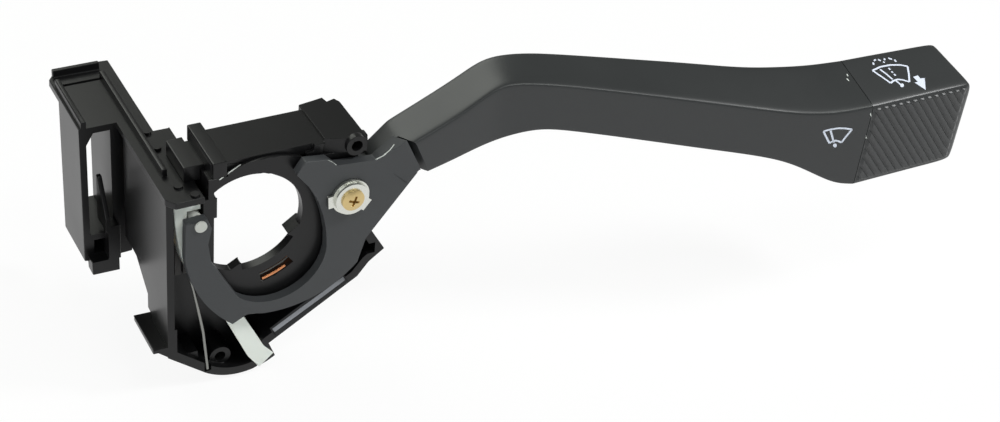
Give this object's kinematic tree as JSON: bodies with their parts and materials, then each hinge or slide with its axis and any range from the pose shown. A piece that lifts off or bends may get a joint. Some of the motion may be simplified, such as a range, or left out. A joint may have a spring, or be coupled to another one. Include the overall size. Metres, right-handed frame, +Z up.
{
  "type": "combination stalk switch",
  "caption": "Steering column stalk switch: a cranked lever with a ribbed paddle on a C-shaped carrier plate, which swings round a moulded base with a column opening and a plug holder.",
  "frame": {"origin": "on the steering column's axis, in the plane of the carrier plate's front face", "axes": "+X towards the lever's tip, +Y away from the driver along the column, +Z up"},
  "size_m": [0.2171, 0.0987, 0.0785],
  "materials": {
    "black_abs": "satin",
    "lever_abs": "satin",
    "plate_pbt": "matte",
    "white_nylon": "satin",
    "grey_pin": "satin",
    "zinc_steel": "bright",
    "yellow_zinc": "satin",
    "spring_steel": "bright",
    "contact_brass": "satin",
    "contact_copper": "satin"
  },
  "bodies": {
    "base": {"base_housing": "black_abs", "connector_holder": "black_abs", "contact_cover": "black_abs", "cover_strap": "black_abs", "rear_cover": "black_abs", "ground_contact": "contact_copper", "guide_strap": "white_nylon", "detent_wire": "spring_steel", "washer_leaf": "contact_brass", "washer_contact": "contact_brass", "pivot_screw": "yellow_zinc", "pivot_washer": "zinc_steel", "clip_washer": "zinc_steel", "pivot_bush": "zinc_steel", "fixed_contact_1": "contact_brass", "fixed_contact_2": "contact_brass", "fixed_contact_3": "contact_brass", "terminal_blade_1": "contact_brass", "terminal_blade_2": "contact_brass", "terminal_blade_3": "contact_brass", "terminal_blade_4": "contact_brass", "terminal_blade_5": "contact_brass", "terminal_blade_6": "contact_brass"},
    "carrier": {"carrier_plate": "plate_pbt", "carrier_pin": "grey_pin", "lever_return_spring": "spring_steel"},
    "slider": {"contact_slider": "white_nylon", "bridge_contact_1": "contact_brass", "bridge_contact_2": "contact_brass", "bridge_contact_3": "contact_brass"},
    "lever": {"lever_body": "lever_abs", "lever_end_cap": "lever_abs", "lever_pivot_pin": "spring_steel"},
    "plunger": {"washer_plunger": "white_nylon"}
  },
  "joints": [
    {"name": "lever_swing", "type": "hinge", "parent": "base", "child": "carrier", "pos_m": [0.025, 0, 0.0037], "axis": [0, -1, 0], "range_deg": [0, 15]},
    {"name": "slider_slide", "type": "slide", "parent": "base", "child": "slider", "axis": [0, 0, -1], "range_m": [0, 0.00995], "deforming": ["detent_wire"]},
    {"name": "lever_pull", "type": "hinge", "parent": "carrier", "child": "lever", "pos_m": [0.036, 0.0064, 0.0082], "axis": [0.4226, 0, -0.9063], "range_deg": [0, 6], "stiffness_Nm_per_rad": 0.6, "springref_deg": -3.44, "deforming": ["lever_return_spring"]},
    {"name": "plunger_slide", "type": "slide", "parent": "base", "child": "plunger", "axis": [0, 1, 0], "range_m": [0, 0.00055]}
  ],
  "couplings": [
    {"joint": "slider_slide", "follows": "lever_swing", "m_per_rad": 0.0378},
    {"joint": "plunger_slide", "follows": "lever_pull", "m_per_rad": 0.00483}
  ]
}
